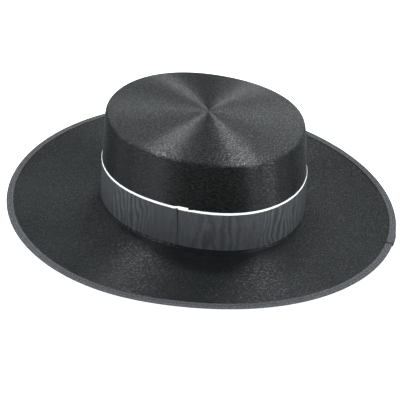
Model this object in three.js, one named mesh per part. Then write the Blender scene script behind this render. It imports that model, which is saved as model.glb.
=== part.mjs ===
// A gaucho hat: a low straight-sided felt crown with an almost flat tip, and a wide
// brim that turns up a little at its bound edge. A ribbon goes round the foot of the
// crown, and a flat white cord lies along the ribbon's top edge.
//
// Millimetres. +Z is up, -Y is the front and +X is the wearer's left. The hat stands
// on the flat ring under its brim, around the head opening, and that ring is at z = 0.

import * as THREE from 'three';
import { mergeVertices } from 'three/addons/utils/BufferGeometryUtils.js';

// Sizes that change round the hat are given at five places from its front to its
// back. The left and the right half are alike.
const CROWN_RADIUS = { front: 102.4, frontQuarter: 96.0, side: 86.6, backQuarter: 95.9, back: 101.4 };
const BRIM_WIDTH = { front: 92.2, frontQuarter: 91.9, side: 89.9, backQuarter: 83.2, back: 89.9 };
// How far the middle of the brim's edge lies above the brim's upper face at the crown.
const RIM_LIFT = { front: 1.2, frontQuarter: 3.8, side: 6.7, backQuarter: 5.8, back: 3.7 };

// Felt walls, and the room between pieces that touch on the real hat.
const FELT = 2.0;
const FELT_AT_RIM = 1.6;
const GAP = 0.3;

// The crown, measured from the brim's upper face. Its tip is higher at the front.
const CROWN_HEIGHT = 92.9;
const TIP_RISE_TO_FRONT = 0.022;
const TIP_DOME = 4.3;
const TIP_EDGE_RADIUS = 2.8;
const WALL_LEAN_FRONT = 5.1;
const WALL_LEAN_BACK = 9.4;
const WALL_LEAN_POWER = 1.6;

// The brim: a rounded break at the crown, a flat ring, then a soft rise to the edge.
const BREAK_RADIUS = 2.5;
const FLAT_RING_END = 24.0;
const BRIM_CURL_POWER = 1.5;

// The ribbon that is folded over the brim's edge. Its two ends overlap at the back.
const BINDING_THICKNESS = 1.0;
const BINDING_WIDTH = 6.4;
const BINDING_END_OVER_DEG = 87.0;

// The ribbon round the crown. Its two ends overlap at the wearer's left.
const BAND_THICKNESS = 0.6;
const BAND_BOTTOM = 3.1;
const BAND_END_OVER_DEG = 2.4;

// The flat white cord. Its ends are narrowed, and one lies over the other.
const CORD_WIDTH = 2.5;
const CORD_END_WIDTH = 1.8;
const CORD_THICKNESS = 1.0;
const CORD_HEIGHT = 43.1;
const CORD_LOWER_END_DEG = 0.3;
const CORD_UPPER_END_DEG = 8.3;
const CORD_SIDES = 8;

// Steps round the hat.
const STEPS = 64;
const STEP_DEG = 360 / STEPS;
const BAND_END_UNDER_DEG = 2 * STEP_DEG;
const BINDING_END_UNDER_DEG = 16 * STEP_DEG;

const radians = THREE.MathUtils.degToRad;

// A smooth size round the hat through the five given ones, and how fast it changes.
function roundHat({ front, frontQuarter, side, backQuarter, back }) {
  const ends = (front + back) / 2;
  const tilt = (back - front) / 2;
  const skew = (backQuarter - frontQuarter) / Math.SQRT2;
  const mean = (ends + side + frontQuarter + backQuarter) / 4;
  const first = (tilt + skew) / 2;
  const second = (side - ends) / 2;
  const third = (skew - tilt) / 2;
  const fourth = (ends + side - frontQuarter - backQuarter) / 4;
  return {
    at: (a) => mean + first * Math.sin(a) + second * Math.cos(2 * a)
      + third * Math.sin(3 * a) + fourth * Math.cos(4 * a),
    slope: (a) => first * Math.cos(a) - 2 * second * Math.sin(2 * a)
      + 3 * third * Math.cos(3 * a) - 4 * fourth * Math.sin(4 * a),
  };
}

const crownRadius = roundHat(CROWN_RADIUS);
const brimWidth = roundHat(BRIM_WIDTH);
const rimLift = roundHat(RIM_LIFT);

// The point at a distance outside the crown's foot line, at right angles to it. A
// shrink below 1 draws the point towards the hat's middle, for rings on the tip.
function place(angle, outward, z, shrink = 1) {
  const radius = crownRadius.at(angle);
  const slope = crownRadius.slope(angle);
  const along = new THREE.Vector2(Math.cos(angle), Math.sin(angle));
  const across = new THREE.Vector2(-along.y, along.x);
  const normal = along.clone().multiplyScalar(radius).addScaledVector(across, -slope).normalize();
  const flat = along.multiplyScalar(radius).addScaledVector(normal, outward).multiplyScalar(shrink);
  return new THREE.Vector3(flat.x, flat.y, z);
}

// How far the top of the crown's wall stands inside its foot.
function wallLean(angle) {
  const lean = Math.sin(angle) > 0 ? WALL_LEAN_BACK : WALL_LEAN_FRONT;
  return lean * Math.sin(angle) ** 2;
}

// The height of the tip's edge above the ground, where the crown lies at this y.
const tipHeight = (y) => FELT + CROWN_HEIGHT - TIP_RISE_TO_FRONT * y;

// The wall's outer face at a share of its height, as a distance and a height.
function wallAt(angle, share) {
  const outward = -wallLean(angle) * share ** WALL_LEAN_POWER;
  const { y } = place(angle, outward, 0);
  return { outward, z: FELT + share * (tipHeight(y) - FELT - TIP_EDGE_RADIUS) };
}

// The same face at a height above the brim.
function wallOutwardAt(angle, aboveBrim) {
  return -wallLean(angle) * (aboveBrim / (CROWN_HEIGHT - TIP_EDGE_RADIUS)) ** WALL_LEAN_POWER;
}

// The middle of the brim's thickness, and that thickness, at a distance from the crown.
function brimAt(angle, outward) {
  const width = brimWidth.at(angle);
  const share = Math.max(0, (outward - FLAT_RING_END) / (width - FLAT_RING_END));
  const rise = (rimLift.at(angle) + FELT / 2) * share ** BRIM_CURL_POWER;
  return { z: FELT / 2 + rise, thickness: FELT + (FELT_AT_RIM - FELT) * share };
}

// A closed solid through sections that stand one after another round the hat. Each is
// a closed outline of points, clockwise with the crown's outside to the right.
function solidThrough(sections, goesRound) {
  const count = sections[0].length;
  const turns = goesRound ? sections.length : sections.length - 1;
  const faces = [];
  for (let i = 0; i < turns; i += 1) {
    const here = i * count;
    const next = ((i + 1) % sections.length) * count;
    for (let j = 0; j < count; j += 1) {
      const k = (j + 1) % count;
      faces.push([here + j, next + k, next + j], [here + j, here + k, next + k]);
    }
  }
  if (!goesRound) {
    const last = (sections.length - 1) * count;
    for (const [a, b, c] of capFaces(sections[0])) faces.push([a, b, c]);
    for (const [a, b, c] of capFaces(sections.at(-1))) faces.push([last + a, last + c, last + b]);
  }
  return closedGeometry(sections.flat(), faces);
}

// Triangles over a section, counter-clockwise with the crown's outside to the right.
function capFaces(section) {
  const outline = section.map((p) => new THREE.Vector2(Math.hypot(p.x, p.y), p.z)).reverse();
  return THREE.ShapeUtils.triangulateShape(outline, []).map((face) => face.map((i) => outline.length - 1 - i));
}

// Points that fall together, as on the hat's axis, are joined, and the faces that
// this leaves without area are dropped.
function closedGeometry(points, faces) {
  const loose = new THREE.BufferGeometry();
  loose.setAttribute('position', new THREE.Float32BufferAttribute(points.flatMap((p) => p.toArray()), 3));
  loose.setIndex(faces.flat());
  const geometry = mergeVertices(loose, 1e-4);
  const index = geometry.getIndex().array;
  const kept = [];
  for (let i = 0; i < index.length; i += 3) {
    const [a, b, c] = index.slice(i, i + 3);
    if (a !== b && b !== c && c !== a) kept.push(a, b, c);
  }
  geometry.setIndex(kept);
  geometry.computeVertexNormals();
  return geometry;
}

// The steps round the hat from one angle to a later one, with both ends.
function stepsBetween(startDeg, endDeg) {
  const degrees = [startDeg];
  for (let step = Math.ceil(startDeg / STEP_DEG); step * STEP_DEG < endDeg; step += 1) {
    if (step * STEP_DEG > startDeg) degrees.push(step * STEP_DEG);
  }
  degrees.push(endDeg);
  return degrees;
}

// 1 up to an angle, 0 from a later one, and even in between.
function fadeOut(deg, fromDeg, toDeg) {
  return 1 - THREE.MathUtils.clamp((deg - fromDeg) / (toDeg - fromDeg), 0, 1);
}

// One side of the felt, from the middle of the tip to the brim's edge. The two sides
// turn round the same centres at the tip's edge and at the break.
function feltSide(angle, isInner) {
  const inset = isInner ? FELT : 0;
  const side = [];
  const edge = wallAt(angle, 1);
  const edgeRadius = TIP_EDGE_RADIUS - inset;
  const edgeOutward = edge.outward - TIP_EDGE_RADIUS;
  for (const share of [0, 0.4, 0.75]) {
    const point = place(angle, edgeOutward, 0, share);
    point.z = tipHeight(point.y) + TIP_DOME * (1 - share ** 2) - inset;
    side.push(point);
  }
  for (const turnDeg of [90, 60, 30]) {
    const turn = radians(turnDeg);
    const point = place(angle, edgeOutward + edgeRadius * Math.cos(turn), 0);
    point.z = tipHeight(point.y) - TIP_EDGE_RADIUS + edgeRadius * Math.sin(turn);
    side.push(point);
  }
  for (const share of [1, 0.8, 0.62, 0.45, 0.24]) {
    const wall = wallAt(angle, share);
    side.push(place(angle, wall.outward - inset, wall.z));
  }
  const breakRadius = BREAK_RADIUS + inset;
  for (const turnDeg of [180, 215, 245, 270]) {
    const turn = radians(turnDeg);
    const outward = BREAK_RADIUS + breakRadius * Math.cos(turn);
    side.push(place(angle, outward, FELT + BREAK_RADIUS + breakRadius * Math.sin(turn)));
  }
  const edgeAt = brimWidth.at(angle) - BINDING_THICKNESS - GAP;
  for (const share of [0, 0.35, 0.7, 1]) {
    const outward = THREE.MathUtils.lerp(FLAT_RING_END, edgeAt, share);
    const brim = brimAt(angle, outward);
    side.push(place(angle, outward, brim.z + (isInner ? -0.5 : 0.5) * brim.thickness));
  }
  return side;
}

// Crown and brim are one piece of blocked felt, open underneath.
function feltBody() {
  const sections = [];
  for (let step = 0; step < STEPS; step += 1) {
    const angle = radians(step * STEP_DEG);
    sections.push([...feltSide(angle, false), ...feltSide(angle, true).reverse()]);
  }
  return solidThrough(sections, true);
}

// A ribbon folded over the edge of the brim. The end at the start lies over the other.
function brimBinding() {
  const lift = BINDING_THICKNESS + GAP;
  const fadeEnd = BINDING_END_UNDER_DEG + 2 * STEP_DEG;
  const sections = stepsBetween(BINDING_END_OVER_DEG, BINDING_END_UNDER_DEG + 360).map((deg) => {
    const angle = radians(deg);
    const raised = lift * fadeOut(deg, BINDING_END_UNDER_DEG, fadeEnd);
    const rim = brimWidth.at(angle);
    const leg = rim - BINDING_WIDTH;
    const inner = brimAt(angle, leg).thickness / 2 + GAP + raised;
    const outer = inner + BINDING_THICKNESS;
    const point = (outward, half) => place(angle, outward, brimAt(angle, Math.min(outward, rim)).z + half);
    const fold = rim + raised - BINDING_THICKNESS;
    const corner = BINDING_THICKNESS * Math.SQRT1_2;
    return [
      point(leg, outer),
      point(fold, outer),
      point(fold + corner, inner + corner),
      point(fold + BINDING_THICKNESS, inner),
      point(fold + BINDING_THICKNESS, -inner),
      point(fold + corner, -inner - corner),
      point(fold, -outer),
      point(leg, -outer),
      point(leg, -inner),
      point(fold, -inner),
      point(fold, inner),
      point(leg, inner),
    ];
  });
  return solidThrough(sections, false);
}

// The ribbon round the foot of the crown. The end at the start lies over the other.
function hatBand() {
  const lift = BAND_THICKNESS + GAP;
  const top = CORD_HEIGHT - CORD_WIDTH / 2 - GAP;
  const heights = [top, (top + BAND_BOTTOM) / 2, BAND_BOTTOM];
  const fadeEnd = BAND_END_UNDER_DEG + 2 * STEP_DEG;
  const sections = stepsBetween(BAND_END_OVER_DEG, BAND_END_UNDER_DEG + 360).map((deg) => {
    const angle = radians(deg);
    const inner = GAP + lift * fadeOut(deg, BAND_END_UNDER_DEG, fadeEnd);
    const face = (distance) => heights.map((height) => (
      place(angle, wallOutwardAt(angle, height) + distance, FELT + height)));
    return [...face(inner + BAND_THICKNESS), ...face(inner).reverse()];
  });
  return solidThrough(sections, false);
}

// The cord goes once round the crown on top of the ribbon's edge. Its last stretch
// rises over its first one.
function bandCord() {
  const startDrop = (CORD_WIDTH - CORD_END_WIDTH) / 2;
  const rise = CORD_END_WIDTH + GAP - startDrop;
  const riseStart = 360 - 2 * STEP_DEG;
  const sections = stepsBetween(CORD_LOWER_END_DEG, CORD_UPPER_END_DEG + 360).map((deg) => {
    const angle = radians(deg);
    const atStart = fadeOut(deg, 2 * STEP_DEG, 4 * STEP_DEG);
    const atEnd = 1 - fadeOut(deg, riseStart, 360);
    const width = THREE.MathUtils.lerp(CORD_WIDTH, CORD_END_WIDTH, Math.max(atStart, atEnd));
    const height = CORD_HEIGHT - startDrop * atStart + rise * atEnd;
    const middle = wallOutwardAt(angle, CORD_HEIGHT) + GAP + CORD_THICKNESS / 2;
    const section = [];
    for (let side = 0; side < CORD_SIDES; side += 1) {
      const turn = radians(-(side + 0.5) * 360 / CORD_SIDES);
      const outward = middle + CORD_THICKNESS / 2 * Math.cos(turn);
      section.push(place(angle, outward, FELT + height + width / 2 * Math.sin(turn)));
    }
    return section;
  });
  return solidThrough(sections, false);
}

function piece(name, geometry, color, roughness) {
  const material = new THREE.MeshStandardMaterial({ color, roughness, metalness: 0 });
  const mesh = new THREE.Mesh(geometry, material);
  mesh.name = name;
  return mesh;
}

const hat = new THREE.Group();
hat.add(piece('felt_body', feltBody(), '#26282a', 0.75));
hat.add(piece('brim_binding', brimBinding(), '#5d6064', 0.65));
hat.add(piece('hat_band', hatBand(), '#3f4246', 0.6));
hat.add(piece('band_cord', bandCord(), '#f6f6f4', 0.7));

export default hat;
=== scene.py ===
# %% [markdown]
# # A gaucho hat
# The hat is a black felt body with a low, almost flat crown and a wide brim. A ribbon is folded
# over the brim's edge, a second ribbon goes round the foot of the crown, and a white cord lies
# along the top of that ribbon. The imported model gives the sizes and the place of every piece, so
# it is loaded first and each piece below is fitted to it.

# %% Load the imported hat
import math

import bmesh
import bpy
import numpy as np
from mathutils import Matrix, Vector


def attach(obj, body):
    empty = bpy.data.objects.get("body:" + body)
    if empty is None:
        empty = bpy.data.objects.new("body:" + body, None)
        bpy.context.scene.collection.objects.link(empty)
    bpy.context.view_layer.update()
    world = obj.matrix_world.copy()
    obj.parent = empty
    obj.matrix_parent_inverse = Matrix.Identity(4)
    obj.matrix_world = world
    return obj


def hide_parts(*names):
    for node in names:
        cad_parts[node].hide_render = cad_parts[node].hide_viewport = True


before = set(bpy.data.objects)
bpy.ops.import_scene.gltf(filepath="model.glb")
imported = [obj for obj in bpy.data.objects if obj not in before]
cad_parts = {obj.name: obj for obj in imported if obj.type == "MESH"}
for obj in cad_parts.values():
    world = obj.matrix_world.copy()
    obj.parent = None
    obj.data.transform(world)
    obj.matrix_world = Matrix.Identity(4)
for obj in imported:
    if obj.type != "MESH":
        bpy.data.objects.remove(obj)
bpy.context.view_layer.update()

MM = 0.001

# %% [markdown]
# ## The camera
# The picture looks down on the hat's left side from a little behind it, with a long lens. Its
# place was found by matching the outlines of the crown, cord, ribbon and brim in the photograph,
# so the numbers are real ones: degrees round and above the hat, and metres to the aim point. The
# photograph hangs a few degrees to one side, and the roll repeats that.

# %% Place the camera
VIEW_AZIMUTH = 106.53
VIEW_ELEVATION = 34.48
VIEW_ROLL = 3.80
VIEW_DISTANCE = 0.8529
LENS = 78.31
AIM = Vector((0.0161, 0.0020, 0.0087))


def direction(azimuth, elevation):
    """The unit vector from the hat to a place round it. Azimuth 0 is in front, 90 at the left side."""
    turn, rise = math.radians(azimuth), math.radians(elevation)
    return Vector((math.sin(turn) * math.cos(rise), -math.cos(turn) * math.cos(rise), math.sin(rise)))


def look_from(back, roll):
    """The rotation of a camera or lamp that looks along -back, turned by roll degrees."""
    right = Vector((0, 0, 1)).cross(back).normalized()
    turned = Matrix.Rotation(math.radians(roll), 3, back)
    right = turned @ right
    up = back.cross(right)
    return Matrix((right, up, back)).transposed().to_4x4()


view_back = direction(VIEW_AZIMUTH, VIEW_ELEVATION)
camera = bpy.data.objects.new("view_camera", bpy.data.cameras.new("view_camera"))
camera.data.lens = LENS
camera.data.clip_start = 0.05
camera.data.clip_end = 50
camera.matrix_world = Matrix.Translation(AIM + view_back * VIEW_DISTANCE) @ look_from(view_back, VIEW_ROLL)
bpy.context.scene.collection.objects.link(camera)
bpy.context.scene.camera = camera
print("camera at", [round(value, 3) for value in camera.location])

# %% [markdown]
# ## The hat's own measures
# A hatter shapes the body on an oval block and cuts the brim with a gauge, so almost every size
# changes slowly round the hat. Each is given at five places from front to back, the same on both
# sides, and a smooth curve joins them. The ribbons and the cord are worked out from the same
# curves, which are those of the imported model. Lengths are in mm. The crown's foot is also taken
# as a circle where degrees are turned into a length along a ribbon.

# %% Sizes round the hat
CROWN_RADIUS = (102.4, 96.0, 86.6, 95.9, 101.4)
BRIM_WIDTH = (92.2, 91.9, 89.9, 83.2, 89.9)
RIM_LIFT = (1.2, 3.8, 6.7, 5.8, 3.7)
FELT = 2.0
FELT_AT_RIM = 1.6
CROWN_HEIGHT = 92.9
TIP_RISE_TO_FRONT = 0.022
TIP_DOME = 4.3
TIP_EDGE_RADIUS = 2.8
WALL_LEAN_FRONT = 5.1
WALL_LEAN_BACK = 9.4
WALL_LEAN_POWER = 1.6
BREAK_RADIUS = 2.5
FLAT_RING_END = 24.0
BRIM_CURL_POWER = 1.5
CROWN_FOOT = 96.0


def round_hat(sizes):
    """The weights of the smooth curve through five sizes, from the front to the back."""
    front, front_quarter, side, back_quarter, back = sizes
    ends = (front + back) / 2
    tilt = (back - front) / 2
    skew = (back_quarter - front_quarter) / math.sqrt(2)
    mean = (ends + side + front_quarter + back_quarter) / 4
    fourth = (ends + side - front_quarter - back_quarter) / 4
    return mean, (tilt + skew) / 2, (side - ends) / 2, (skew - tilt) / 2, fourth


def size_at(sizes, angle):
    """The size at each angle."""
    mean, first, second, third, fourth = round_hat(sizes)
    waves = first * np.sin(angle) + second * np.cos(2 * angle)
    return mean + waves + third * np.sin(3 * angle) + fourth * np.cos(4 * angle)


def slope_at(sizes, angle):
    """How fast the size changes with the angle."""
    _, first, second, third, fourth = round_hat(sizes)
    waves = first * np.cos(angle) - 2 * second * np.sin(2 * angle)
    return waves + 3 * third * np.cos(3 * angle) - 4 * fourth * np.sin(4 * angle)


def place(angle, outward, height, shrink=1.0):
    """Points outside the crown's foot line, at right angles to it, then drawn in by the shrink."""
    radius = size_at(CROWN_RADIUS, angle)
    slope = slope_at(CROWN_RADIUS, angle)
    long = np.hypot(radius, slope)
    cos, sin = np.cos(angle), np.sin(angle)
    normal_x = (radius * cos + slope * sin) / long
    normal_y = (radius * sin - slope * cos) / long
    x = (radius * cos + outward * normal_x) * shrink
    y = (radius * sin + outward * normal_y) * shrink
    return np.stack(np.broadcast_arrays(x, y, height), axis=-1)


def wall_lean(angle):
    """How far the top of the crown's wall stands inside its foot."""
    return np.where(np.sin(angle) > 0, WALL_LEAN_BACK, WALL_LEAN_FRONT) * np.sin(angle) ** 2


def wall_outward(angle, above_brim):
    """The wall's outer face at a height above the brim, as a distance from the foot line."""
    share = np.maximum(above_brim, 0) / (CROWN_HEIGHT - TIP_EDGE_RADIUS)
    return -wall_lean(angle) * share**WALL_LEAN_POWER


def brim_middle(angle, outward):
    """The height of the middle of the brim's felt, and the felt's thickness."""
    width = size_at(BRIM_WIDTH, angle)
    share = np.maximum(0, (outward - FLAT_RING_END) / (width - FLAT_RING_END))
    rise = (size_at(RIM_LIFT, angle) + FELT / 2) * share**BRIM_CURL_POWER
    return FELT / 2 + rise, FELT + (FELT_AT_RIM - FELT) * share


opening_width = 2 * (CROWN_RADIUS[2] - FELT)
opening_length = CROWN_RADIUS[0] + CROWN_RADIUS[-1] - 2 * FELT
print("head opening, mm:", round(opening_width), "by", round(opening_length))

# %% [markdown]
# ## From sections to a mesh
# Every piece of this hat is a section that goes round it: the felt's profile, a folded ribbon, a
# flat ribbon, a cord. A grid of points does for all of them, with one row for each step round the
# hat and one column for each point of the section. The grid also carries a UV map in millimetres,
# distance round the hat against distance over the section, so that fibres and ribs can later
# follow the surface without a seam. A second helper cleans the mesh, and closes the open ends of
# the strips.

# %% A grid of points becomes a piece
SAME_POINT = 0.001
NO_LENGTH = 0.0001


def grid_piece(name, points, goes_round, lengths):
    """A mesh through points[step, column], closed along the columns, with its UV map in mm."""
    steps, columns = points.shape[:2]
    turns = steps if goes_round else steps - 1
    here = np.arange(turns)[:, None] * columns
    after = ((np.arange(turns)[:, None] + 1) % steps) * columns
    column = np.arange(columns)[None, :]
    beside = (column + 1) % columns
    quads = np.stack([here + column, here + beside, after + beside, after + column], axis=-1)
    around, over = lengths
    u = np.stack([around[:-1, None], around[:-1, None], around[1:, None], around[1:, None]], axis=-1)
    v = np.stack([over[:-1], over[1:], over[1:], over[:-1]], axis=-1)[None]
    map_points = np.stack(np.broadcast_arrays(u, v), axis=-1).reshape(-1, 2)
    faces = quads.reshape(-1, 4)
    mesh = bpy.data.meshes.new(name)
    mesh.from_pydata((points.reshape(-1, 3) * MM).tolist(), [], faces.tolist())
    mesh.uv_layers.new(name="SurfaceMM").data.foreach_set("uv", map_points.astype(np.float32).ravel())
    mesh.update()
    piece = bpy.data.objects.new(name, mesh)
    bpy.context.scene.collection.objects.link(piece)
    return piece


def clean(piece, sharp_degrees=50, close_ends=True):
    """Joins points that fall together, drops faces without area and shades the mesh smooth."""
    edit = bmesh.new()
    edit.from_mesh(piece.data)
    bmesh.ops.remove_doubles(edit, verts=edit.verts, dist=SAME_POINT * MM)
    bmesh.ops.dissolve_degenerate(edit, dist=NO_LENGTH * MM, edges=edit.edges)
    if close_ends:
        open_edges = [edge for edge in edit.edges if edge.is_boundary]
        bmesh.ops.holes_fill(edit, edges=open_edges, sides=0)
    bmesh.ops.recalc_face_normals(edit, faces=edit.faces)
    edit.to_mesh(piece.data)
    edit.free()
    piece.data.shade_smooth()
    piece.data.set_sharp_from_angle(angle=math.radians(sharp_degrees))
    triangles = sum(len(face.vertices) - 2 for face in piece.data.polygons)
    print(piece.name, "triangles:", triangles)
    return piece

# %% [markdown]
# ## The felt's profile
# Crown and brim are one cone of wool felt, steamed and pulled over a block. The profile is drawn
# once for each step round the hat: from the middle of the tip over its edge, down the wall, round
# the break and out over the brim, then back on the other side, one felt thickness away. A lathe
# would give a round hat, so the profile is fitted to the oval at each angle. The tip's edge is an
# arc from EDGE_START degrees down to level. The tip's rings crowd towards its middle, where the
# brush has left a small whorl.

# %% Draw the felt's profile
EDGE_START = 84.4
TIP_RING_CROWDING = 1.5
WHORL_RADIUS = 2.6
WHORL_DEPTH = 0.5
BINDING_CLOTH = 0.45
BINDING_SEAT = 0.05


def tip_top(y):
    """The height of the tip's edge above the ground."""
    return FELT + CROWN_HEIGHT - TIP_RISE_TO_FRONT * y


def felt_side(angle, inner, tip_rings, edge_rings, wall_rings, brim_rings):
    """One side of the felt as a list of rings, from the middle of the tip to the brim's edge."""
    inset = FELT if inner else 0.0
    edge_radius = TIP_EDGE_RADIUS - inset
    edge_centre = wall_outward(angle, CROWN_HEIGHT) - TIP_EDGE_RADIUS
    rings = []
    start = math.radians(EDGE_START)
    for share in (np.linspace(0, 1, tip_rings) ** TIP_RING_CROWDING)[:-1]:
        ring = place(angle, edge_centre + edge_radius * math.cos(start), 0.0, share)
        from_middle = np.hypot(ring[:, 0], ring[:, 1]) / WHORL_RADIUS
        whorl = 0.0 if inner else WHORL_DEPTH * np.exp(-(from_middle**2))
        ring[:, 2] = tip_top(ring[:, 1]) + TIP_DOME * (1 - share**2) - inset - whorl
        rings.append(ring)
    for turn in np.linspace(start, 0, edge_rings):
        ring = place(angle, edge_centre + edge_radius * math.cos(turn), 0.0)
        ring[:, 2] = tip_top(ring[:, 1]) - TIP_EDGE_RADIUS + edge_radius * math.sin(turn)
        rings.append(ring)
    foot = BREAK_RADIUS / CROWN_HEIGHT
    for share in np.linspace(1, foot, wall_rings)[1:-1]:
        outward = -wall_lean(angle) * share**WALL_LEAN_POWER
        ring = place(angle, outward - inset, 0.0)
        outer_y = place(angle, outward, 0.0)[:, 1]
        ring[:, 2] = FELT + share * (tip_top(outer_y) - FELT - TIP_EDGE_RADIUS)
        rings.append(ring)
    break_radius = BREAK_RADIUS + inset
    for turn in np.radians(np.linspace(180, 270, edge_rings)):
        height = FELT + BREAK_RADIUS + break_radius * math.sin(turn)
        rings.append(place(angle, BREAK_RADIUS + break_radius * math.cos(turn), height))
    rim = size_at(BRIM_WIDTH, angle) - BINDING_CLOTH - BINDING_SEAT
    for share in np.linspace(0, 1, brim_rings)[1:]:
        outward = BREAK_RADIUS + share * (rim - BREAK_RADIUS)
        middle, thick = brim_middle(angle, outward)
        rings.append(place(angle, outward, middle + (-0.5 if inner else 0.5) * thick))
    return rings

# %% [markdown]
# ## The felt body
# The rings of both sides make one closed grid, with more rings outside than inside, because the
# outside is what shows. The lengths round the hat and over its profile go into the UV map.

# %% Build the felt body
FELT_STEPS = 288
OUTER_RINGS = {"tip_rings": 26, "edge_rings": 8, "wall_rings": 44, "brim_rings": 46}
INNER_RINGS = {"tip_rings": 12, "edge_rings": 6, "wall_rings": 16, "brim_rings": 24}


def around_lengths(angle):
    """Distance round the crown's foot at each step, in mm, with the closing step."""
    line = place(angle, 0.0, 0.0)
    closed = np.concatenate([line, line[:1]])
    return np.concatenate([[0.0], np.cumsum(np.linalg.norm(np.diff(closed, axis=0), axis=1))])


def over_lengths(points):
    """Distance over the section at each column, in mm, as the mean of all steps."""
    closed = np.concatenate([points, points[:, :1]], axis=1)
    lengths = np.linalg.norm(np.diff(closed, axis=1), axis=2).mean(axis=0)
    return np.concatenate([[0.0], np.cumsum(lengths)])


felt_angles = np.arange(FELT_STEPS) * 2 * math.pi / FELT_STEPS
outer_rings = felt_side(felt_angles, inner=False, **OUTER_RINGS)
inner_rings = felt_side(felt_angles, inner=True, **INNER_RINGS)
felt_points = np.stack(outer_rings + inner_rings[::-1], axis=1)
felt_lengths = (around_lengths(felt_angles), over_lengths(felt_points))
felt = clean(grid_piece("felt_hat_body", felt_points, True, felt_lengths), close_ends=False)
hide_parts("felt_body")
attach(felt, "root")

# %% [markdown]
# ## The ribbon over the brim's edge
# A ribbed ribbon is folded in half lengthwise, stretched over the cut edge of the brim and sewn
# through. Its ends meet at the back of the hat: one end is turned under, which makes it twice as
# thick, and lies over the other. The section is a thin U. The ribbon is straight and the edge is a
# curve, so the ribbon's inner edge puckers a little, and the seam pulls a shallow groove into it.
# Two waves of different length make the puckers, so that they don't look counted. Places on a leg
# are shares of its width, from the free edge at 0 to the fold at 1.

# %% Build the brim's ribbon
BINDING_WIDTH = 6.4
BINDING_JOIN = 87.0
BINDING_UNDER = 90.0
BINDING_LIFT = 1.0
BINDING_FADE = 4.0
BINDING_STEP = 1.2
BINDING_PUFF = 0.1
PUCKER_HEIGHT = 0.05
PUCKER_SPACING = 7.5
LONG_PUCKER = 1.63
LONG_PUCKER_SHARE = 0.7
SEAM_SHARE = 0.62
SEAM_DEPTH = 0.14
SEAM_WIDTH = 0.09
LEG_SHARES = (0.0, 0.06, 0.25, 0.45, 0.53, SEAM_SHARE, 0.71, 0.8, 0.9)
FOLD_TURNS = (75, 50, 25, 0, -25, -50, -75)
RIM_RADIUS = 183.0


def fade_out(value, start, end):
    """1 up to the start, 0 from the end on and smooth between them."""
    share = np.clip((value - start) / (end - start), 0, 1)
    return 1 - share * share * (3 - 2 * share)


def strip_angles(start, end, step_mm, radius):
    """Even steps round the hat between two angles in degrees, as degrees."""
    count = int(math.radians(end - start) * radius / step_mm)
    return np.linspace(start, end, count)


class EdgeRibbon:
    """The folded ribbon's section at each of its steps."""

    def __init__(self, degrees):
        self.angle = np.radians(degrees)
        self.round = self.angle * RIM_RADIUS
        self.raised = BINDING_LIFT * fade_out(degrees, BINDING_UNDER, BINDING_UNDER + BINDING_FADE)
        self.rim = size_at(BRIM_WIDTH, self.angle)
        wave = np.sin(self.round * 2 * math.pi / PUCKER_SPACING)
        long_wave = np.sin(self.round * 2 * math.pi / (PUCKER_SPACING * LONG_PUCKER) + 1)
        self.pucker = PUCKER_HEIGHT * (wave + LONG_PUCKER_SHARE * long_wave)

    def leg_point(self, share, distance, sign):
        """A point on a leg, from its free end at 0 to the fold at 1."""
        half = FELT_AT_RIM / 2 + BINDING_SEAT + self.raised + distance
        outward = self.rim - BINDING_WIDTH + share * (self.raised + BINDING_WIDTH - half)
        middle, thick = brim_middle(self.angle, np.minimum(outward, self.rim))
        puff = self.pucker * (1 - share) ** 2 + BINDING_PUFF * math.sin(math.pi * share)
        groove = SEAM_DEPTH * math.exp(-(((share - SEAM_SHARE) / SEAM_WIDTH) ** 2))
        height = half + (thick - FELT_AT_RIM) / 2 + puff - groove
        return place(self.angle, outward, middle + sign * height)

    def face(self, distance):
        """One whole face of the ribbon, from the upper leg over the fold to the lower leg."""
        half = FELT_AT_RIM / 2 + BINDING_SEAT + self.raised + distance
        middle, _ = brim_middle(self.angle, self.rim)
        fold = []
        for turn in np.radians(FOLD_TURNS):
            outward = self.rim + self.raised - BINDING_CLOTH + distance - half * (1 - math.cos(turn))
            fold.append(place(self.angle, outward, middle + half * math.sin(turn)))
        upper = [self.leg_point(share, distance, 1) for share in LEG_SHARES]
        lower = [self.leg_point(share, distance, -1) for share in LEG_SHARES[::-1]]
        return upper + fold + lower


edge_ribbon = EdgeRibbon(strip_angles(BINDING_JOIN, BINDING_UNDER + 360, BINDING_STEP, RIM_RADIUS))
binding_points = np.stack(edge_ribbon.face(BINDING_CLOTH) + edge_ribbon.face(0.0)[::-1], axis=1)
binding_lengths = (edge_ribbon.round, over_lengths(binding_points))
binding = clean(grid_piece("brim_edge_ribbon", binding_points, False, binding_lengths))
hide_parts("brim_binding")
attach(binding, "root")

# %% [markdown]
# ## The seam
# A row of machine stitches holds the ribbon on the brim, and a few stitches by hand close its end.
# Each stitch is a short thread that dips into the cloth at both ends, so it is made as a thin
# spindle, and the row is one piece. The hand stitches start and end a fraction of a degree on
# either side of the ribbon's shown end.

# %% Sew the seam
STITCH_PITCH = 2.6
STITCH_LENGTH = 2.0
THREAD_RADIUS = 0.16
SPINDLE_SIDES = 6
SPINDLE_RINGS = 7
SPINDLE_TIP = 0.04
SPINDLE_SUNK = 0.4
END_STITCHES = 3
END_STITCH_SHARES = (0.12, 0.88)
END_STITCH_FROM = 0.45
END_STITCH_TO = 0.15


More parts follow.
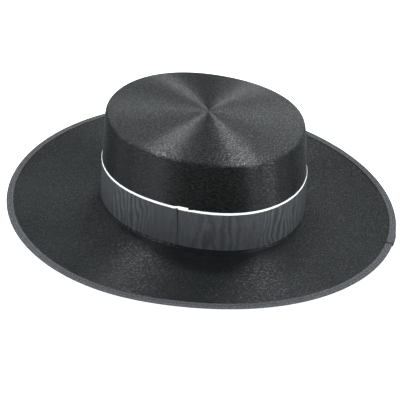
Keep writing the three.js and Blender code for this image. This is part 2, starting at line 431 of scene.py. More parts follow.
def spindles(name, starts, ends, lifts, radius):
    """Short threads from each start to each end, bowed along the lift directions."""
    along = np.linspace(0, 1, SPINDLE_RINGS)
    girth = radius * np.sqrt(np.sin(np.pi * np.clip(along, SPINDLE_TIP, 1 - SPINDLE_TIP)))
    vertices = []
    faces = []
    for start, end, lift in zip(starts, ends, lifts):
        axis = (end - start) / np.linalg.norm(end - start)
        side = np.cross(axis, lift)
        first = len(vertices)
        for share, size in zip(along, girth):
            bow = radius * (math.sin(math.pi * share) - SPINDLE_SUNK)
            middle = start + (end - start) * share + lift * bow
            for turn in np.arange(SPINDLE_SIDES) * 2 * math.pi / SPINDLE_SIDES:
                vertices.append(middle + size * (math.cos(turn) * side + math.sin(turn) * lift))
        for ring in range(len(along) - 1):
            for turn in range(SPINDLE_SIDES):
                here = first + ring * SPINDLE_SIDES + turn
                beside = first + ring * SPINDLE_SIDES + (turn + 1) % SPINDLE_SIDES
                faces.append((here, beside, beside + SPINDLE_SIDES, here + SPINDLE_SIDES))
        last = first + (len(along) - 1) * SPINDLE_SIDES
        faces.append(tuple(first + turn for turn in range(SPINDLE_SIDES))[::-1])
        faces.append(tuple(last + turn for turn in range(SPINDLE_SIDES)))
    mesh = bpy.data.meshes.new(name)
    mesh.from_pydata((np.array(vertices) * MM).tolist(), [], faces)
    mesh.shade_smooth()
    piece = bpy.data.objects.new(name, mesh)
    bpy.context.scene.collection.objects.link(piece)
    print(name, "threads:", len(starts))
    return piece


stitch_step = math.degrees(STITCH_PITCH / RIM_RADIUS)
stitch_degrees = np.arange(BINDING_JOIN + 1, BINDING_JOIN + 360, stitch_step)
stitch_length = math.degrees(STITCH_LENGTH / RIM_RADIUS)
row_start = EdgeRibbon(stitch_degrees)
row_end = EdgeRibbon(stitch_degrees + stitch_length)
starts = []
ends = []
lifts = []
for sign in (1, -1):
    starts.extend(row_start.leg_point(SEAM_SHARE, BINDING_CLOTH, sign))
    ends.extend(row_end.leg_point(SEAM_SHARE, BINDING_CLOTH, sign))
    lifts.extend([np.array((0.0, 0.0, sign))] * len(stitch_degrees))
over_end = EdgeRibbon(np.array([BINDING_JOIN + END_STITCH_TO]))
under_end = EdgeRibbon(np.array([BINDING_JOIN + 360 - END_STITCH_FROM]))
for share in np.linspace(*END_STITCH_SHARES, END_STITCHES):
    starts.append(over_end.leg_point(share, BINDING_CLOTH, 1)[0])
    ends.append(under_end.leg_point(share, BINDING_CLOTH, 1)[0])
    lifts.append(np.array((0.0, 0.0, 1.0)))
seam = spindles("edge_seam", starts, ends, lifts, THREAD_RADIUS)
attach(seam, "root")

# %% [markdown]
# ## The ribbon round the crown
# This is a wider ribbed ribbon, pulled tight round the foot of the crown and caught with a few
# stitches. The end that shows is folded under and lies over the other end at the hat's left side.
# Its cross ribs are woven in, so they are part of the mesh: a small wave along the ribbon. Heights
# are counted from the brim, and places along the ribbon in degrees round the hat.

# %% Build the crown's ribbon
BAND_CLOTH = 0.45
BAND_SEAT = 0.1
BAND_BOTTOM = 3.1
BAND_TOP = 41.6
BAND_JOIN = 2.4
BAND_UNDER = 11.25
BAND_FADE = 10.0
BAND_PUFF = 0.08
BAND_ROWS = 9
INNER_ROW_STEP = 4
JOIN_SLANT = 0.6
JOIN_SLANT_FADE = 12.0
RIB_PITCH = 1.1
RIB_HEIGHT = 0.035
RIB_STEPS = 5

band_degrees = strip_angles(BAND_JOIN, BAND_UNDER + 360, RIB_PITCH / RIB_STEPS, CROWN_FOOT)
band_angle = np.radians(band_degrees)
band_round = band_angle * CROWN_FOOT
band_lift = (BAND_CLOTH + BAND_SEAT) * fade_out(band_degrees, BAND_UNDER + 1, BAND_UNDER + BAND_FADE)
band_rib = RIB_HEIGHT * np.cos(band_round * 2 * math.pi / RIB_PITCH)


def band_face(distance, heights, rib):
    """One face of the ribbon, with the top of the shown end slanting a little."""
    rings = []
    near_join = fade_out(band_degrees, BAND_JOIN, BAND_JOIN + JOIN_SLANT_FADE)
    for height in heights:
        level = (height - BAND_BOTTOM) / (BAND_TOP - BAND_BOTTOM)
        lean = -np.radians(JOIN_SLANT) * (level - 0.5) * 2 * near_join
        puff = BAND_PUFF * math.sin(math.pi * level)
        outward = wall_outward(band_angle, height) + BAND_SEAT + band_lift + distance + rib + puff
        rings.append(place(band_angle + lean, outward, FELT + height))
    return rings


band_heights = np.linspace(BAND_TOP, BAND_BOTTOM, BAND_ROWS)
band_outer = band_face(BAND_CLOTH, band_heights, band_rib)
band_inner = band_face(0.0, band_heights[::-1][::INNER_ROW_STEP], 0.0)
band_points = np.stack(band_outer + band_inner, axis=1)
band = grid_piece("crown_ribbon", band_points, False, (band_round, over_lengths(band_points)))
clean(band, sharp_degrees=70)
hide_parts("hat_band")
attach(band, "root")

# %% [markdown]
# ## The white cord
# The cord is a flat white braid, sewn down on the ribbon's top edge. It stands on edge against the
# felt, so it is thin where the crown turns away and wide in front. Both ends are narrower than
# the rest, and the last one rises over the first, which is how the photograph shows them. A wave
# that runs slantwise over the section stands for the leaves of the braid.

# %% Build the cord
CORD_WIDTH = 2.5
CORD_END_WIDTH = 1.8
CORD_THICKNESS = 0.65
CORD_HEIGHT = 43.1
CORD_START = 1.9
CORD_END = 8.3
CORD_STEP = 0.5
CORD_SIDES = 16
CORD_SEAT = 0.1
PLAIT_LENGTH = 2.6
PLAIT_DEPTH = 0.09
PLAIT_SLANT = 2.2
PLAIT_AT_EDGE = 0.4
BLUNT_END = 0.02
THIN_START = 8.6
THIN_END = 12.0
CLIMB_START = 359.2
CLIMB_END = 363.2

cord_degrees = strip_angles(CORD_START, CORD_END + 360, CORD_STEP, CROWN_FOOT)
cord_angle = np.radians(cord_degrees)
cord_round = cord_angle * CROWN_FOOT
cord_first = fade_out(cord_degrees, THIN_START, THIN_END)
cord_last = 1 - fade_out(cord_degrees, CLIMB_START, CLIMB_END)
cord_half = (CORD_WIDTH + (CORD_END_WIDTH - CORD_WIDTH) * np.maximum(cord_first, cord_last)) / 2
to_end = np.minimum(cord_round - cord_round[0], cord_round[-1] - cord_round)
end_share = np.clip(to_end / cord_half, 0, 1)
end_round = np.sqrt(np.maximum(1 - (1 - end_share) ** 2, BLUNT_END))
cord_drop = (CORD_WIDTH - CORD_END_WIDTH) / 2
cord_rise = CORD_END_WIDTH + CORD_SEAT - cord_drop
cord_level = CORD_HEIGHT - cord_drop * cord_first + cord_rise * cord_last
cord_middle = wall_outward(cord_angle, CORD_HEIGHT) + CORD_SEAT + CORD_THICKNESS / 2
cord_rings = []
for side in range(CORD_SIDES):
    turn = -2 * math.pi * side / CORD_SIDES
    across, up = math.cos(turn), math.sin(turn)
    half_turn = math.copysign(math.pi / 2, up)
    leaf = np.cos(cord_round * 2 * math.pi / PLAIT_LENGTH + half_turn + PLAIT_SLANT * abs(up))
    thick = CORD_THICKNESS / 2 * (1 - PLAIT_DEPTH * (1 - leaf))
    tall = cord_half * (1 - PLAIT_DEPTH * PLAIT_AT_EDGE * (1 - leaf))
    outward = cord_middle + end_round * thick * across
    cord_rings.append(place(cord_angle, outward, FELT + cord_level + end_round * tall * up))
cord_points = np.stack(cord_rings, axis=1)
cord = grid_piece("white_cord", cord_points, False, (cord_round, over_lengths(cord_points)))
clean(cord, sharp_degrees=80)
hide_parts("band_cord")
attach(cord, "root")

# %% [markdown]
# ## Building materials from nodes
# A short helper makes a node, sets its values and joins its inputs. A node group gets named
# sockets, so that it can be placed in several materials with other values, like a tool from a
# drawer. The other helpers are the few steps that every material below needs: a sum, a change of
# range, a mix of two colours and a colour near grey.

# %% Helpers for nodes
def node(tree, kind, inputs=None, **settings):
    """A node with its settings, and with values or links on its inputs."""
    made = tree.nodes.new(kind)
    for name, value in settings.items():
        setattr(made, name, value)
    for socket, value in (inputs or {}).items():
        if isinstance(value, bpy.types.NodeSocket):
            tree.links.new(value, made.inputs[socket])
        else:
            made.inputs[socket].default_value = value
    return made


def group_tree(name, inputs, outputs):
    """An empty node group with named number sockets, and its own two ends."""
    tree = bpy.data.node_groups.new(name, "ShaderNodeTree")
    for title, value in inputs.items():
        socket = tree.interface.new_socket(title, in_out="INPUT", socket_type="NodeSocketFloat")
        socket.default_value = value
    for title in outputs:
        tree.interface.new_socket(title, in_out="OUTPUT", socket_type="NodeSocketFloat")
    return tree, tree.nodes.new("NodeGroupInput").outputs, tree.nodes.new("NodeGroupOutput").inputs


def material(name):
    """A material with its tree and its shader."""
    made = bpy.data.materials.new(name)
    made.use_nodes = True
    return made, made.node_tree, made.node_tree.nodes["Principled BSDF"]


def maths(tree, operation, first, second=0.0, third=0.0):
    """The value of one sum."""
    return node(tree, "ShaderNodeMath", {0: first, 1: second, 2: third}, operation=operation).outputs[0]


def remap(tree, value, old=(0.0, 1.0), new=(0.0, 1.0), curve="LINEAR"):
    """The value moved from the old range to the new one, and held inside it."""
    inputs = {"Value": value, "From Min": old[0], "From Max": old[1], "To Min": new[0], "To Max": new[1]}
    return node(tree, "ShaderNodeMapRange", inputs, interpolation_type=curve).outputs[0]


def blend(tree, share, first, second):
    """The mix of two colours."""
    colour_inputs = {0: share, 6: first, 7: second}
    return node(tree, "ShaderNodeMix", colour_inputs, data_type="RGBA").outputs[2]


def grey(level, green=1.0, blue=1.0):
    """A colour near grey."""
    return (level, level * green, level * blue, 1)


def surface_mm(tree):
    """Distance round the hat and distance over the section, in mm."""
    surface_map = node(tree, "ShaderNodeUVMap", uv_map="SurfaceMM")
    along, over, _ = node(tree, "ShaderNodeSeparateXYZ", {0: surface_map.outputs[0]}).outputs
    return along, over


def round_the_hat(tree, shader):
    """Gives the shader the direction round the hat, which its lengthened highlights go by."""
    way = node(tree, "ShaderNodeTangent", direction_type="UV_MAP", uv_map="SurfaceMM")
    tree.links.new(way.outputs[0], shader.inputs["Tangent"])

# %% [markdown]
# ## Fibres laid round the hat
# The hatter brushes the nap round and round, so each fibre lies along the hat's own curve. The
# group stretches noise along that direction: the place in space gives slow change round the hat,
# and the distance over the section gives fast change across it. It has no seam, because nothing
# in it depends on where the mesh starts. It puts out the nap's height and three masks: the single
# fibres, larger patches of dye, and glints, which are the fibres that lie quite flat.

# %% Make the fibre group
HAIR_SHARE = 0.3
tree, given, result = group_tree(
    "Laid Fibres",
    {"Over": 0.0, "Fibre Length": 3.4, "Fibre Width": 0.95, "Clumps": 0.25},
    ("Height", "Fibres", "Patches", "Glints"),
)
position = node(tree, "ShaderNodeSeparateXYZ", {0: node(tree, "ShaderNodeTexCoord").outputs["Object"]})
x_mm = maths(tree, "MULTIPLY", position.outputs[0], 1 / MM)
y_mm = maths(tree, "MULTIPLY", position.outputs[1], 1 / MM)


def fibre_noise(longer, wider, edges, shift):
    """Noise stretched round the hat, a number of times longer and wider than one fibre."""
    length = maths(tree, "MULTIPLY", given["Fibre Length"], longer)
    width = maths(tree, "MULTIPLY", given["Fibre Width"], wider)
    vector = node(tree, "ShaderNodeCombineXYZ", {
        0: maths(tree, "DIVIDE", x_mm, length),
        1: maths(tree, "DIVIDE", y_mm, length),
        2: maths(tree, "ADD", maths(tree, "DIVIDE", given["Over"], width), shift),
    })
    noise = node(tree, "ShaderNodeTexNoise", {"Vector": vector.outputs[0], "Scale": 1.0, "Detail": 1.0})
    return remap(tree, noise.outputs[0], edges, curve="SMOOTHSTEP")


locks = fibre_noise(longer=1.0, wider=1.0, edges=(0.44, 0.6), shift=0.0)
hairs = fibre_noise(longer=0.5, wider=0.6, edges=(0.4, 0.64), shift=13.0)
clumps = fibre_noise(longer=3.5, wider=3.0, edges=(0.3, 0.7), shift=31.0)
patches = fibre_noise(longer=9.0, wider=22.0, edges=(0.3, 0.7), shift=77.0)
glints = fibre_noise(longer=0.6, wider=1.5, edges=(0.5, 0.62), shift=51.0)
height = maths(tree, "MULTIPLY_ADD", clumps, given["Clumps"], locks)
tree.links.new(maths(tree, "MULTIPLY_ADD", hairs, HAIR_SHARE, height), result["Height"])
lock_share = maths(tree, "MULTIPLY", locks, 1 - HAIR_SHARE)
tree.links.new(maths(tree, "MULTIPLY_ADD", hairs, HAIR_SHARE, lock_share), result["Fibres"])
tree.links.new(patches, result["Patches"])
tree.links.new(glints, result["Glints"])
FIBRES = tree
print("fibre group, nodes:", len(FIBRES.nodes))

# %% [markdown]
# ## Black brushed felt
# The felt is dyed almost black, with a long nap that shines a little. Fibres that lie side by side
# mirror a lamp as a brushed pan does: the light spreads across them and stays narrow along them.
# So the shader is anisotropic, its tangent is the direction round the hat, and a fine bump breaks
# the shine into short dashes. The glints mask makes the flat fibres paler, smoother and metallic
# together, and a little sheen stands for loose fuzz, which shows where the felt turns away. The
# tip and the wall are ironed with a warm pad and shine more than the brim, so there are three
# felts, one for each. The brim's felt also gets paler colours than the others. This is painted
# light that lifts the shade which the crown casts on it.

# %% Make the three felts
DEEP_DYE_TINT = (1.22, 1.2)
WORN_DYE_TINT = (1.12, 1.14)
FIBRE_TINT = (1.1, 1.12)
FIBRE_SHARE = 0.5
QUARTER_TURN = 0.25
FUZZ = 0.06
FUZZ_ROUGHNESS = 0.2


def felt_material(name, fibre_size, dye_and_painted_light, fibre_light, glint, roughness, shine, nap_height):
    """Black felt with its nap laid round the hat. The nap's height is in mm."""
    made, tree, shader = material(name)
    fibres = node(tree, "ShaderNodeGroup", node_tree=FIBRES)
    fibres.inputs["Fibre Length"].default_value, fibres.inputs["Fibre Width"].default_value = fibre_size
    _, over = surface_mm(tree)
    tree.links.new(over, fibres.inputs["Over"])
    deep, worn = dye_and_painted_light
    dyed = blend(tree, fibres.outputs["Patches"], grey(deep, *DEEP_DYE_TINT), grey(worn, *WORN_DYE_TINT))
    share = maths(tree, "MULTIPLY", fibres.outputs["Fibres"], FIBRE_SHARE)
    nap = blend(tree, share, dyed, grey(fibre_light, *FIBRE_TINT))
    tree.links.new(blend(tree, fibres.outputs["Glints"], nap, grey(glint)), shader.inputs["Base Color"])
    tree.links.new(fibres.outputs["Glints"], shader.inputs["Metallic"])
    tree.links.new(remap(tree, fibres.outputs["Glints"], new=roughness), shader.inputs["Roughness"])
    bump_inputs = {"Strength": 1.0, "Distance": nap_height * MM, "Height": fibres.outputs["Height"]}
    tree.links.new(node(tree, "ShaderNodeBump", bump_inputs).outputs[0], shader.inputs["Normal"])
    round_the_hat(tree, shader)
    shader.inputs["Anisotropic"].default_value = 1.0
    shader.inputs["Anisotropic Rotation"].default_value = QUARTER_TURN
    shader.inputs["Specular IOR Level"].default_value = shine
    shader.inputs["Sheen Weight"].default_value = FUZZ
    shader.inputs["Sheen Roughness"].default_value = FUZZ_ROUGHNESS
    return made


TIP_FELT = felt_material(
    "black_felt_tip", fibre_size=(2.3, 1.1), dye_and_painted_light=(0.0015, 0.003), fibre_light=0.006,
    glint=0.092, roughness=(0.47, 0.34), shine=0.42, nap_height=0.055,
)
WALL_FELT = felt_material(
    "black_felt_wall", fibre_size=(5.0, 0.75), dye_and_painted_light=(0.0015, 0.003), fibre_light=0.006,
    glint=0.07, roughness=(0.5, 0.3), shine=0.44, nap_height=0.08,
)
# Painted light: the brim's dye and fibre colours are paler than the tip's and wall's, to lift the shade
# that the crown casts on the brim.
BRIM_FELT = felt_material(
    "black_felt_brim", fibre_size=(4.2, 0.85), dye_and_painted_light=(0.007, 0.012), fibre_light=0.014,
    glint=0.045, roughness=(0.5, 0.34), shine=0.205, nap_height=0.11,
)
print("felts:", [kind.name for kind in (TIP_FELT, WALL_FELT, BRIM_FELT)])

# %% [markdown]
# ## Where each felt goes
# On the real hat one felt runs through, and only the ironing differs. The brim's paler colour here
# is painted light. The change from wall to brim is hidden behind the ribbon, and the one from tip
# to wall lies on the rounded edge, so each face of the mesh simply takes the finish of its place.
# The slope of the face tells tip from wall.

# %% Share out the felts
HIDDEN_SEAM_HEIGHT = 15.0
WALL_STEEPNESS = 0.6
TIP, WALL, BRIM = range(3)

for felt_kind in (TIP_FELT, WALL_FELT, BRIM_FELT):
    felt.data.materials.append(felt_kind)
face_counts = [0, 0, 0]
for face in felt.data.polygons:
    if face.center.z < HIDDEN_SEAM_HEIGHT * MM:
        face.material_index = BRIM
    elif abs(face.normal.z) < WALL_STEEPNESS:
        face.material_index = WALL
    else:
        face.material_index = TIP
    face_counts[face.material_index] += 1
print("faces of tip, wall and brim:", face_counts)

# %% [markdown]
# ## Ribs and watering
# Both ribbons are woven with thick cross threads, which show as fine ribs from edge to edge. The
# wide one was pressed while damp, which leaves a watered pattern of pale and dark lines that
# wander along the ribs. The press leaves clear fine lines at some places, broad soft ones at
# others and almost plain cloth between. One group gives the ribs, the watering, small specks and
# a painted shadow at a folded end, so that each ribbon can set its own amounts. This cell makes
# the group and the few patterns that the next two draw with. All its lengths are in mm.

# %% Start the ribbon group
NO_FOLDED_END = -100.0
NOISE_EDGES = (0.28, 0.72)
PRESSED_REACH = (14.0, 30.8)

tree, given, result = group_tree(
    "Ribbon Weave",
    {"Along": 0.0, "Across": 0.0, "Rib Pitch": 1.1, "Line Spacing": 3.0, "Folded End": NO_FOLDED_END},
    ("Height", "Watering", "Ribs", "Fold Shadow", "Specks"),
)


def ribbon_noise(width, length, detail, shift):
    """Noise stretched along the ribs, from 0 to 1."""
    vector = node(tree, "ShaderNodeCombineXYZ", {
        0: maths(tree, "DIVIDE", given["Along"], width),
        1: maths(tree, "DIVIDE", given["Across"], length),
        2: shift,
    })
    noise = node(tree, "ShaderNodeTexNoise", {"Vector": vector.outputs[0], "Scale": 1.0, "Detail": detail})
    return remap(tree, noise.outputs[0], NOISE_EDGES)


def waves(value):
    """A wave from 0 to 1 that repeats each time the value grows by 1."""
    angle = maths(tree, "MULTIPLY", value, 2 * math.pi)
    return maths(tree, "MULTIPLY_ADD", maths(tree, "SINE", angle), 0.5, 0.5)


def distance_from(place_along):
    """How far along the ribbon a point is from a place."""
    return maths(tree, "ABSOLUTE", maths(tree, "SUBTRACT", given["Along"], place_along))


def pressed(places):
    """1 round the places along the ribbon and 0 away from them."""
    most = 0.0
    for middle in places:
        near = remap(tree, distance_from(middle), PRESSED_REACH, (1.0, 0.0))
        most = maths(tree, "MAXIMUM", near, most)
    return most


print("ribbon group gives:", list(result.keys())[:-1])

# %% [markdown]
# ## The watering
# Fine and broad lines are waves along the ribbon, and slow noise bends them as the press did. Each
# kind keeps to its own places and fades out beside them. Between them the cloth stays at a plain
# level, with faint streaks and small dark specks.

# %% Draw the watering
CLEAR_PLACES = (110.0, 550.0)
BROAD_PLACES = (42.0, 250.0, 400.0)
BEND = 1.5
WOBBLE = 0.4
BROAD_TO_FINE = 0.55
FINE_SWAY = 1.2
SOFT_ELSEWHERE = 0.25
BROAD_STRENGTH = 0.5
BROAD_DROP = -0.12
PLAIN_LEVEL = 0.48
FINE_STRENGTH = 1.05
FINE_LEVEL = 0.12
WATER_STRENGTH = 0.8
FAINT_STRENGTH = 0.3

bend = maths(tree, "MULTIPLY", ribbon_noise(width=26.0, length=45.0, detail=1.0, shift=3.0), BEND)
wobble = maths(tree, "MULTIPLY", ribbon_noise(width=7.0, length=18.0, detail=1.0, shift=9.0), WOBBLE)
sway = maths(tree, "ADD", bend, wobble)
line_count = maths(tree, "DIVIDE", given["Along"], given["Line Spacing"])
fine_lines = waves(maths(tree, "ADD", line_count, maths(tree, "MULTIPLY", sway, FINE_SWAY)))
broad_lines = waves(maths(tree, "MULTIPLY_ADD", line_count, BROAD_TO_FINE, sway))

clear = pressed(CLEAR_PLACES)
not_clear = maths(tree, "SUBTRACT", 1.0, clear)
broad = pressed(BROAD_PLACES)
slow_noise = ribbon_noise(width=24.0, length=60.0, detail=1.0, shift=15.0)
elsewhere = maths(tree, "MULTIPLY", slow_noise, SOFT_ELSEWHERE)
strength = maths(tree, "MAXIMUM", maths(tree, "MULTIPLY", broad, BROAD_STRENGTH), elsewhere)
broad_level = maths(tree, "MULTIPLY_ADD", broad, BROAD_DROP, PLAIN_LEVEL)
centred_lines = maths(tree, "SUBTRACT", broad_lines, 0.5)
soft_part = maths(tree, "MULTIPLY_ADD", centred_lines, strength, broad_level)
fine_level = maths(tree, "MULTIPLY_ADD", fine_lines, FINE_STRENGTH, FINE_LEVEL)
clear_part = maths(tree, "MULTIPLY", fine_level, clear)
lines = maths(tree, "MULTIPLY_ADD", soft_part, not_clear, clear_part)
faint_noise = ribbon_noise(width=2.2, length=26.0, detail=2.0, shift=27.0)
faint = maths(tree, "MULTIPLY", faint_noise, FAINT_STRENGTH)
tree.links.new(maths(tree, "MULTIPLY_ADD", lines, WATER_STRENGTH, faint), result["Watering"])
tree.links.new(ribbon_noise(width=1.7, length=1.3, detail=1.0, shift=41.0), result["Specks"])
print("places with clear lines, mm along the ribbon:", CLEAR_PLACES)

# %% [markdown]
# ## Ribs, warp and fold shadow
# The ribs are the thick cross threads, and the thin warp that binds them shows as a finer ripple
# the other way. A folded end throws a narrow shadow, which is painted into the colour as a dark
# line that fades below the ribbon's top edge.

# %% Draw the ribs and the painted fold shadow
FOLD_SHADOW_REACH = (0.5, 1.4)
FOLD_SHADOW_FADE = (10.0, 26.0)
FOLD_SHADOW_AT_FOOT = 0.5
WARP_PITCH = 0.4
WARP_HEIGHT = 0.25

# Painted shadow: a narrow dark line at the folded end, fading towards the ribbon's foot.
painted_fold_shadow = remap(tree, distance_from(given["Folded End"]), FOLD_SHADOW_REACH, (1.0, 0.0))
fold_shadow_fade = remap(tree, given["Across"], FOLD_SHADOW_FADE, (1.0, FOLD_SHADOW_AT_FOOT))
tree.links.new(maths(tree, "MULTIPLY", painted_fold_shadow, fold_shadow_fade), result["Fold Shadow"])
ribs = waves(maths(tree, "DIVIDE", given["Along"], given["Rib Pitch"]))
tree.links.new(ribs, result["Ribs"])
warp = waves(maths(tree, "DIVIDE", given["Across"], WARP_PITCH))
tree.links.new(maths(tree, "MULTIPLY_ADD", warp, WARP_HEIGHT, ribs), result["Height"])
RIBBON = tree
print("ribbon group, nodes:", len(RIBBON.nodes))

# %% [markdown]
# ## The two ribbons
# Both are black grosgrain. The narrow one looks paler and duller in the picture, so each has its
# own colours and roughness. The group's masks paint shade into the valleys between the ribs,
# scatter specks and paint a shadow at the folded end. Ribs too fine to see still spread a lamp's
# light round the hat, so the shader is anisotropic the other way than the felt's.

# %% Make the two ribbons
RIB_SHADE = 0.25
RIB_SPREAD = 0.8
RIB_BUMP = 0.8
SPECK_AND_SHADE_BLACK = 0.004
FOLD_SHADOW_BLACK = 0.006


def ribbon_material(name, colours, weave_sizes, folded_end, specks, roughness, rib_height, shine):
    """A ribbed ribbon with its own colours, ribs and folded end. The ribs' height is in mm."""
    made, tree, shader = material(name)
    weave = node(tree, "ShaderNodeGroup", node_tree=RIBBON)
    along, across = surface_mm(tree)
    tree.links.new(along, weave.inputs["Along"])
    tree.links.new(across, weave.inputs["Across"])
    weave.inputs["Rib Pitch"].default_value, weave.inputs["Line Spacing"].default_value = weave_sizes
    weave.inputs["Folded End"].default_value = folded_end
    cloth = blend(tree, weave.outputs["Watering"], *colours)
    # Painted shade: the colour darkens in the valleys between the ribs, towards the same black as the
    # specks.
    painted_valley_shade = maths(tree, "MULTIPLY", maths(tree, "SUBTRACT", 1.0, weave.outputs["Ribs"]), RIB_SHADE)
    dark_share = maths(tree, "MULTIPLY_ADD", weave.outputs["Specks"], specks, painted_valley_shade)
    shaded = blend(tree, dark_share, cloth, grey(SPECK_AND_SHADE_BLACK))
    # Painted shadow: the colour darkens along the folded end.
    fold_shadowed = blend(tree, weave.outputs["Fold Shadow"], shaded, grey(FOLD_SHADOW_BLACK))
    tree.links.new(fold_shadowed, shader.inputs["Base Color"])
    tree.links.new(remap(tree, weave.outputs["Watering"], new=roughness), shader.inputs["Roughness"])
    bump_inputs = {"Strength": RIB_BUMP, "Distance": rib_height * MM, "Height": weave.outputs["Height"]}
    tree.links.new(node(tree, "ShaderNodeBump", bump_inputs).outputs[0], shader.inputs["Normal"])
    round_the_hat(tree, shader)
    shader.inputs["Anisotropic"].default_value = RIB_SPREAD
    shader.inputs["Specular IOR Level"].default_value = shine
    return made


BAND_RIBBON = ribbon_material(
    "black_watered_ribbon", colours=(grey(0.045, 1.03, 1.09), grey(0.15, 1.03, 1.09)),
    weave_sizes=(RIB_PITCH, 5.2), folded_end=band_round[0], specks=0.35,
    roughness=(0.42, 0.3), rib_height=0.06, shine=1.0,
)
BINDING_RIBBON = ribbon_material(
    "black_edge_ribbon", colours=(grey(0.115, 0.985, 1.06), grey(0.19, 0.985, 1.06)),
    weave_sizes=(1.25, 9.0), folded_end=NO_FOLDED_END, specks=0.75,
    roughness=(0.65, 0.55), rib_height=0.1, shine=0.3,
)
band.data.materials.append(BAND_RIBBON)
binding.data.materials.append(BINDING_RIBBON)
print("ribbons:", [kind.name for kind in (BAND_RIBBON, BINDING_RIBBON)])

# %% [markdown]
# ## Sewing thread
# The thread is black polyester, a little glossy, darker than the ribbon that it holds. Fine noise
# stands for its twist, which is too small to model.

# %% Make the thread
TWIST_NOISE_SCALE = 1600.0
THREAD_COLOURS = (grey(0.004), grey(0.012))
THREAD_ROUGHNESS = (0.6, 0.45)
THREAD_SHINE = 0.3

black_thread, tree, shader = material("black_thread")
twist = node(tree, "ShaderNodeTexNoise", {"Scale": TWIST_NOISE_SCALE, "Detail": 1.0}).outputs[0]
tree.links.new(blend(tree, twist, *THREAD_COLOURS), shader.inputs["Base Color"])
tree.links.new(remap(tree, twist, new=THREAD_ROUGHNESS), shader.inputs["Roughness"])
shader.inputs["Specular IOR Level"].default_value = THREAD_SHINE
seam.data.materials.append(black_thread)
print("thread nodes:", len(tree.nodes))

# %% [markdown]
# ## White yarn
# The cord is soft white yarn, matt and a little fuzzy. Small fibres run slantwise in the braid.
# It also glows a little. This is painted light that brightens it where the lamps reach it weakly.

# %% Make the yarn
YARN_SLANT = 0.8
YARN_FIBRE_WIDTH = 0.25
YARN_FIBRE_LENGTH = 1.5
YARN_COLOURS = (grey(0.88), grey(0.96))
YARN_ROUGHNESS = (0.75, 0.6)
YARN_BUMP = 0.5
YARN_FIBRE_HEIGHT = 0.1
CORD_PAINTED_GLOW = 0.25
PURE_WHITE = (1, 1, 1, 1)

white_yarn, tree, shader = material("white_yarn")
along, over = surface_mm(tree)
slant = maths(tree, "MULTIPLY_ADD", over, YARN_SLANT, along)
yarn_vector = node(tree, "ShaderNodeCombineXYZ", {
    0: maths(tree, "DIVIDE", slant, YARN_FIBRE_WIDTH),
    1: maths(tree, "DIVIDE", over, YARN_FIBRE_LENGTH),
})
yarn_inputs = {"Vector": yarn_vector.outputs[0], "Scale": 1.0, "Detail": 2.0}
yarn_fibres = node(tree, "ShaderNodeTexNoise", yarn_inputs).outputs[0]
tree.links.new(blend(tree, yarn_fibres, *YARN_COLOURS), shader.inputs["Base Color"])
tree.links.new(remap(tree, yarn_fibres, new=YARN_ROUGHNESS), shader.inputs["Roughness"])
bump_inputs = {"Strength": YARN_BUMP, "Distance": YARN_FIBRE_HEIGHT * MM, "Height": yarn_fibres}
tree.links.new(node(tree, "ShaderNodeBump", bump_inputs).outputs[0], shader.inputs["Normal"])
# Painted light: a faint glow, though the cord is no lamp.
shader.inputs["Emission Color"].default_value = PURE_WHITE
shader.inputs["Emission Strength"].default_value = CORD_PAINTED_GLOW
cord.data.materials.append(white_yarn)
print("yarn nodes:", len(tree.nodes))

# %% [markdown]
# ## The table
# The hat lies on a plain white table that is lit from inside, which leaves no hard shadow under
# the brim. The felt doesn't mirror the table, as if black cloth hid it, so its shade stays deep.

# %% Set the table
FLOOR_SIZE = 30.0
FLOOR_BELOW = 0.1
TABLE_WHITE = (0.86, 0.86, 0.87, 1)
TABLE_ROUGHNESS = 0.9
TABLE_SHINE = 0.1
TABLE_GLOW = 0.85

floor_mesh = bpy.data.meshes.new("floor")
half = FLOOR_SIZE / 2
floor_level = -FLOOR_BELOW * MM
corners = [(x, y, floor_level) for x, y in ((-half, -half), (half, -half), (half, half), (-half, half))]
floor_mesh.from_pydata(corners, [], [(0, 1, 2, 3)])
floor = bpy.data.objects.new("floor", floor_mesh)
bpy.context.scene.collection.objects.link(floor)
floor.visible_glossy = False
table_white, tree, shader = material("white_table")
shader.inputs["Base Color"].default_value = TABLE_WHITE
shader.inputs["Roughness"].default_value = TABLE_ROUGHNESS
shader.inputs["Specular IOR Level"].default_value = TABLE_SHINE
shader.inputs["Emission Color"].default_value = PURE_WHITE
shader.inputs["Emission Strength"].default_value = TABLE_GLOW
floor.data.materials.append(table_white)
print("table, m:", FLOOR_SIZE)

# %% [markdown]
# ## The light
# Fibres that lie round the hat mirror each lamp as one narrow streak on the tip and again on the
# brim. High lamps behind the hat give the cross of streaks on both sides of the dark wedge, low
# ones behind it give the broad pale flanks, and low ones in front light the crown's wall and the
# ribbon. Each lamp has its turn and its height in degrees, its distance and its size in metres,
# and its power in watts.

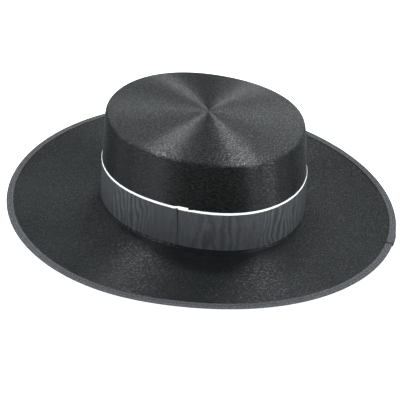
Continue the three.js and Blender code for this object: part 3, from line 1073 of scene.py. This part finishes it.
# %% Hang the lamps
LAMP_TINT = (0.97, 1.0, 1.03)
ROOM_TINT = (0.88, 1.0, 1.01, 1)
ROOM_LIGHT = 0.28
LAMPS = (
    ("high_right", 142.5, 67, 1.6, (0.19, 0.19), 5.1),
    ("high_left", -139.5, 67, 1.6, (0.19, 0.19), 8.3),
    ("high_back_right", 153.5, 61, 1.6, (0.21, 0.21), 3.6),
    ("back_right", 167.5, 26, 3.0, (0.9, 1.0), 9.2),
    ("back_left", -164.5, 26, 3.0, (0.9, 1.0), 2.9),
    ("back_upper_right", 153.5, 44, 3.0, (0.7, 1.0), 4.2),
    ("back_upper_left", -150.5, 44, 3.0, (0.7, 1.0), 6.2),
    ("rear_right", 123.0, 20, 3.0, (0.9, 0.9), 3.0),
    ("side_right", 93.5, 22, 3.0, (0.9, 0.9), 9.5),
    ("side_left", -90.5, 22, 3.0, (0.9, 0.9), 14.0),
    ("front_right", 51.5, 30, 3.0, (0.8, 0.8), 23.0),
    ("front_left", -48.5, 30, 3.0, (0.5, 0.5), 29.0),
    ("low_right", 68.5, 8, 3.0, (0.9, 0.7), 23.0),
    ("low_left", -63.5, 8, 3.0, (0.5, 0.5), 10.0),
)


def softbox(name, turn, elevation, distance, size, power):
    """A soft lamp that faces the hat, turned round it from the side that the picture shows."""
    back = direction(VIEW_AZIMUTH + turn, elevation)
    lamp = bpy.data.objects.new(name, bpy.data.lights.new(name, "AREA"))
    lamp.data.shape = "RECTANGLE"
    lamp.data.size, lamp.data.size_y = size
    lamp.data.energy = power
    lamp.data.color = LAMP_TINT
    lamp.matrix_world = Matrix.Translation(back * distance) @ look_from(back, 0)
    bpy.context.scene.collection.objects.link(lamp)


for lamp_values in LAMPS:
    softbox(*lamp_values)
room = bpy.data.worlds.new("room")
room.use_nodes = True
room.node_tree.nodes["Background"].inputs["Color"].default_value = ROOM_TINT
room.node_tree.nodes["Background"].inputs["Strength"].default_value = ROOM_LIGHT
bpy.context.scene.world = room
bpy.context.scene.view_settings.view_transform = "Standard"
print("lamps:", len(LAMPS), "watts:", round(sum(values[-1] for values in LAMPS), 1))
